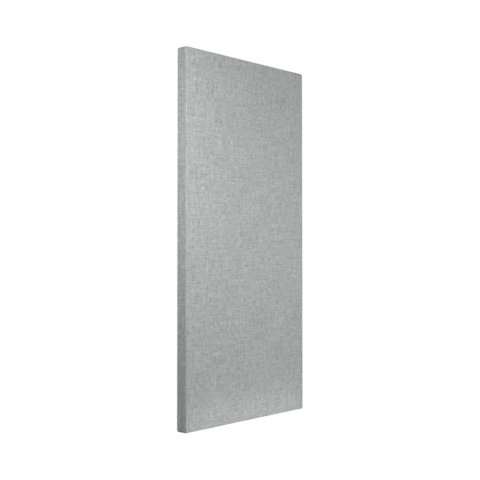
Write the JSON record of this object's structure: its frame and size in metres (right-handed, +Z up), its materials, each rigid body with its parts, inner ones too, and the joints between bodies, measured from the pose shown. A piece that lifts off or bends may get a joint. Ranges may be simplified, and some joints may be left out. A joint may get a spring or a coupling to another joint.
{
  "type": "acoustic panel",
  "caption": "Flat rectangular sound absorbing panel: a mineral wool slab in a mitred timber frame, wrapped in woven cloth, with swinging D-ring hangers and rubber bumpers on its back.",
  "frame": {"origin": "on the wall behind the panel's centre, in the plane of the four bumpers' faces. The two wall hooks that hold the panel up are 288.7 mm to either side of it and 450 mm above it", "axes": "+Z up along the panel's length, +Y out of the back towards the wall, front face towards -Y, +X to the right seen from the front"},
  "size_m": [0.6, 0.0463, 1.2],
  "materials": {
    "face_cloth": "light grey melange woven cloth, matt",
    "veil": "thin white tissue veil",
    "back_cover": "black spun non-woven cover",
    "mineral_wool": "pressed mineral wool fibres",
    "timber": "planed pine, untreated",
    "plywood": "birch plywood, sanded, untreated",
    "steel": "bright zinc plated steel",
    "rubber": "black moulded rubber, matt"
  },
  "bodies": {
    "root": {"face_cloth": "face_cloth", "front_veil": "veil", "back_cover": "back_cover", "wool_slab": "mineral_wool", "top_rail": "timber", "bottom_rail": "timber", "left_stile": "timber", "right_stile": "timber", "back_brace": "plywood", "gusset_top_left": "plywood", "gusset_top_right": "plywood", "gusset_bottom_left": "plywood", "gusset_bottom_right": "plywood", "gusset_screw_top_left_rail": "steel", "gusset_screw_top_left_stile": "steel", "gusset_screw_top_right_rail": "steel", "gusset_screw_top_right_stile": "steel", "gusset_screw_bottom_left_rail": "steel", "gusset_screw_bottom_left_stile": "steel", "gusset_screw_bottom_right_rail": "steel", "gusset_screw_bottom_right_stile": "steel", "brace_screw_left_upper": "steel", "brace_screw_left_lower": "steel", "brace_screw_right_upper": "steel", "brace_screw_right_lower": "steel", "hanger_strap_left": "steel", "hanger_strap_right": "steel", "hanger_screw_left_upper": "steel", "hanger_screw_left_lower": "steel", "hanger_screw_right_upper": "steel", "hanger_screw_right_lower": "steel", "bumper_top_left": "rubber", "bumper_top_right": "rubber", "bumper_bottom_left": "rubber", "bumper_bottom_right": "rubber"},
    "ring_left": {"hanger_ring_left": "steel"},
    "ring_right": {"hanger_ring_right": "steel"}
  },
  "joints": [
    {"name": "ring_left_swing", "type": "hinge", "parent": "root", "child": "ring_left", "pos_m": [-0.2887, -0.0037, 0.45], "axis": [1, 0, 0], "range_deg": [0, 175]},
    {"name": "ring_right_swing", "type": "hinge", "parent": "root", "child": "ring_right", "pos_m": [0.2887, -0.0037, 0.45], "axis": [1, 0, 0], "range_deg": [0, 175]}
  ]
}
